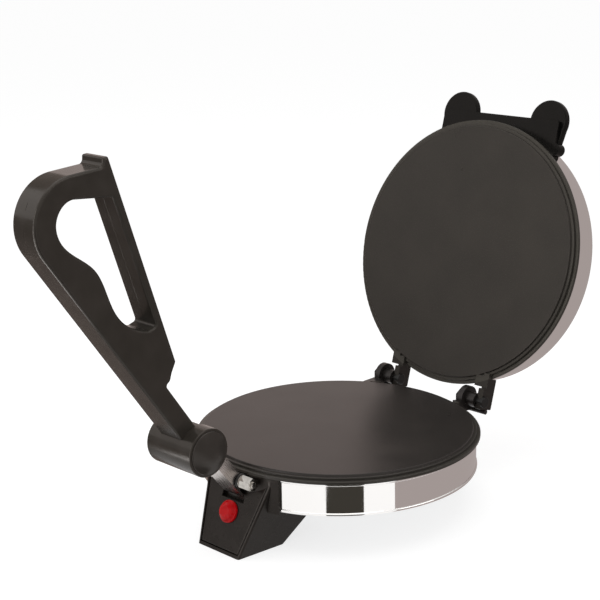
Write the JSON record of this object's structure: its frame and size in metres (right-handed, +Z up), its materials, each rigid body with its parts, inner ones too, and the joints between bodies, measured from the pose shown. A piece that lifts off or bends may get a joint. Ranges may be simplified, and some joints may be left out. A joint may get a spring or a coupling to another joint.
{
  "type": "electric flatbread maker",
  "caption": "Electric flatbread maker: a heated lower plate, a heated plate in a hinged lid, and a folding lever with a hand-hole handle that presses the lid down.",
  "frame": {"origin": "centre of the lower plate's cooking face", "axes": "+Z up, out of the cooking face; +Y to the rear, where the lid hinges are; the lever and the control box stand at -Y; X along the hinge axis"},
  "size_m": [0.216, 0.4824, 0.2977],
  "materials": {
    "black_moulding": "semi-gloss moulded phenolic",
    "black_steel": "black powder coat",
    "bracket_moulding": "moulded phenolic, satin",
    "ceramic": "unglazed steatite",
    "ceramic_fibre": "pressed insulation board",
    "coated_aluminium": "matte black non-stick coating on die-cast aluminium",
    "galvanised_sheet": "galvanised sheet",
    "handle_moulding": "semi-gloss moulded phenolic",
    "lamp_holder": "white nylon",
    "mica": "mica sheet with a flat resistance ribbon",
    "polished_steel": "polished stainless sheet",
    "red_lens": "translucent red acrylic",
    "rubber": "matte rubber",
    "steel_link": "nickel-plated bent steel channel",
    "zinc_steel": "zinc-plated steel"
  },
  "bodies": {
    "base": {"lower_cooking_plate": "coated_aluminium", "lower_heater": "mica", "lower_insulation": "ceramic_fibre", "lower_pressure_plate": "galvanised_sheet", "lower_pack_screws": "zinc_steel", "thermostat": "ceramic", "thermostat_screws": "zinc_steel", "base_shell": "polished_steel", "base_cover": "galvanised_sheet", "base_cover_screws": "zinc_steel", "rear_leg_left": "black_moulding", "rear_leg_right": "black_moulding", "leg_screws": "zinc_steel", "foot_pads": "rubber", "cord_bush": "rubber", "control_box": "black_moulding", "box_screws": "zinc_steel", "wire_grommet": "rubber", "control_panel": "black_moulding", "panel_screws": "zinc_steel", "indicator_lens": "red_lens", "indicator_lamp": "lamp_holder", "indicator_nut": "lamp_holder", "terminal_block": "ceramic", "lever_bracket": "black_steel", "lever_bracket_screws": "zinc_steel", "pivot_bolt": "zinc_steel", "pivot_washers": "zinc_steel", "pivot_nut": "zinc_steel", "hinge_bolts": "black_steel", "hinge_nuts": "black_steel"},
    "lid": {"upper_cooking_plate": "coated_aluminium", "upper_heater": "mica", "upper_insulation": "ceramic_fibre", "upper_pressure_plate": "galvanised_sheet", "upper_pack_screws": "zinc_steel", "thermal_fuse": "zinc_steel", "lid_shell": "polished_steel", "lid_screws": "zinc_steel", "lid_bracket": "bracket_moulding", "lid_bracket_screws": "zinc_steel"},
    "lever_link": {"lever_link": "steel_link"},
    "handle": {"handle_left_half": "handle_moulding", "handle_right_half": "handle_moulding", "handle_screws": "zinc_steel", "knuckle_pin": "zinc_steel", "knuckle_nut": "zinc_steel", "knuckle_caps": "handle_moulding"}
  },
  "joints": [
    {"name": "lid_hinge", "type": "hinge", "parent": "base", "child": "lid", "pos_m": [0, 0.1144, -0.0009], "axis": [1, 0, 0], "range_deg": [0, 106.3]},
    {"name": "link_hinge", "type": "hinge", "parent": "base", "child": "lever_link", "pos_m": [0, -0.112, -0.0099], "axis": [-1, 0, 0], "range_deg": [0, 24.4]},
    {"name": "handle_hinge", "type": "hinge", "parent": "lever_link", "child": "handle", "pos_m": [0, -0.15122, 0.02551], "axis": [-1, 0, 0], "range_deg": [0, 83.5]}
  ]
}
